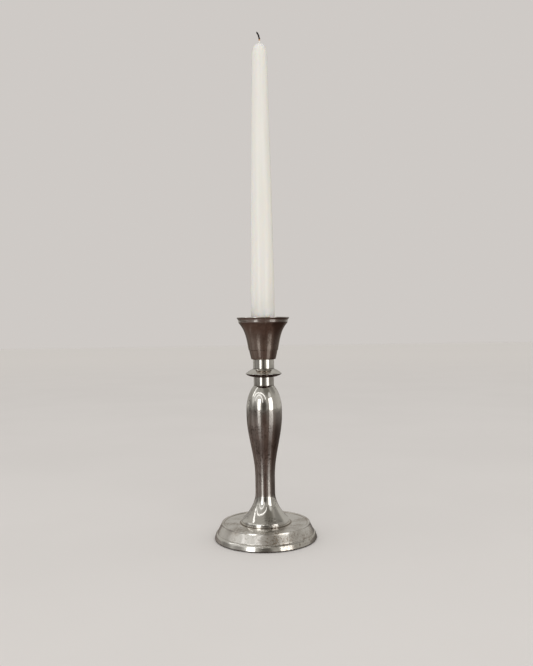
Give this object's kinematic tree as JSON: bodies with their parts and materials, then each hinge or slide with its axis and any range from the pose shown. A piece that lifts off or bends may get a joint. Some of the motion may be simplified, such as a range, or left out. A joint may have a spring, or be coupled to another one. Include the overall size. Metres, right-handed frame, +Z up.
{
  "type": "candlestick",
  "caption": "Turned silver candlestick with a weighted round base, baluster stem, knop and bell-shaped cup, holding a removable ivory taper candle.",
  "frame": {"origin": "on the table, under the candlestick's axis", "axes": "+Z up along the axis, +X to the right and -Y towards the viewer"},
  "size_m": [0.1, 0.1, 0.4952],
  "materials": {
    "silver_polished": "silver-plated, polished, lightly tarnished",
    "silver_satin": "silver-plated, satin with fine turning lines, lightly stained",
    "brass": "turned brass, unpolished",
    "steel": "zinc-plated steel",
    "iron": "as cast, painted black",
    "felt": "pressed wool felt",
    "wax": "ivory candle wax, slightly translucent",
    "wick_cotton": "braided cotton, charred at the tip"
  },
  "bodies": {
    "candlestick": {"foot_rim": "silver_polished", "base_shell": "silver_satin", "bottom_cover": "steel", "felt_pad": "felt", "ballast": "iron", "base_washer": "steel", "spring_washer": "steel", "base_nut": "steel", "tie_rod": "steel", "foot_bush": "brass", "stem": "silver_polished", "lower_neck": "silver_polished", "knop": "silver_polished", "upper_neck": "silver_polished", "cup_collar": "silver_polished", "candle_cup": "silver_polished", "cup_rim": "silver_polished", "socket_liner": "brass", "cup_nut": "brass"},
    "taper": {"candle": "wax", "wick": "wick_cotton"}
  },
  "joints": [
    {"name": "candle_lift", "type": "slide", "parent": "candlestick", "child": "taper", "axis": [0, 0, 1], "range_m": [0, 0.06]}
  ]
}
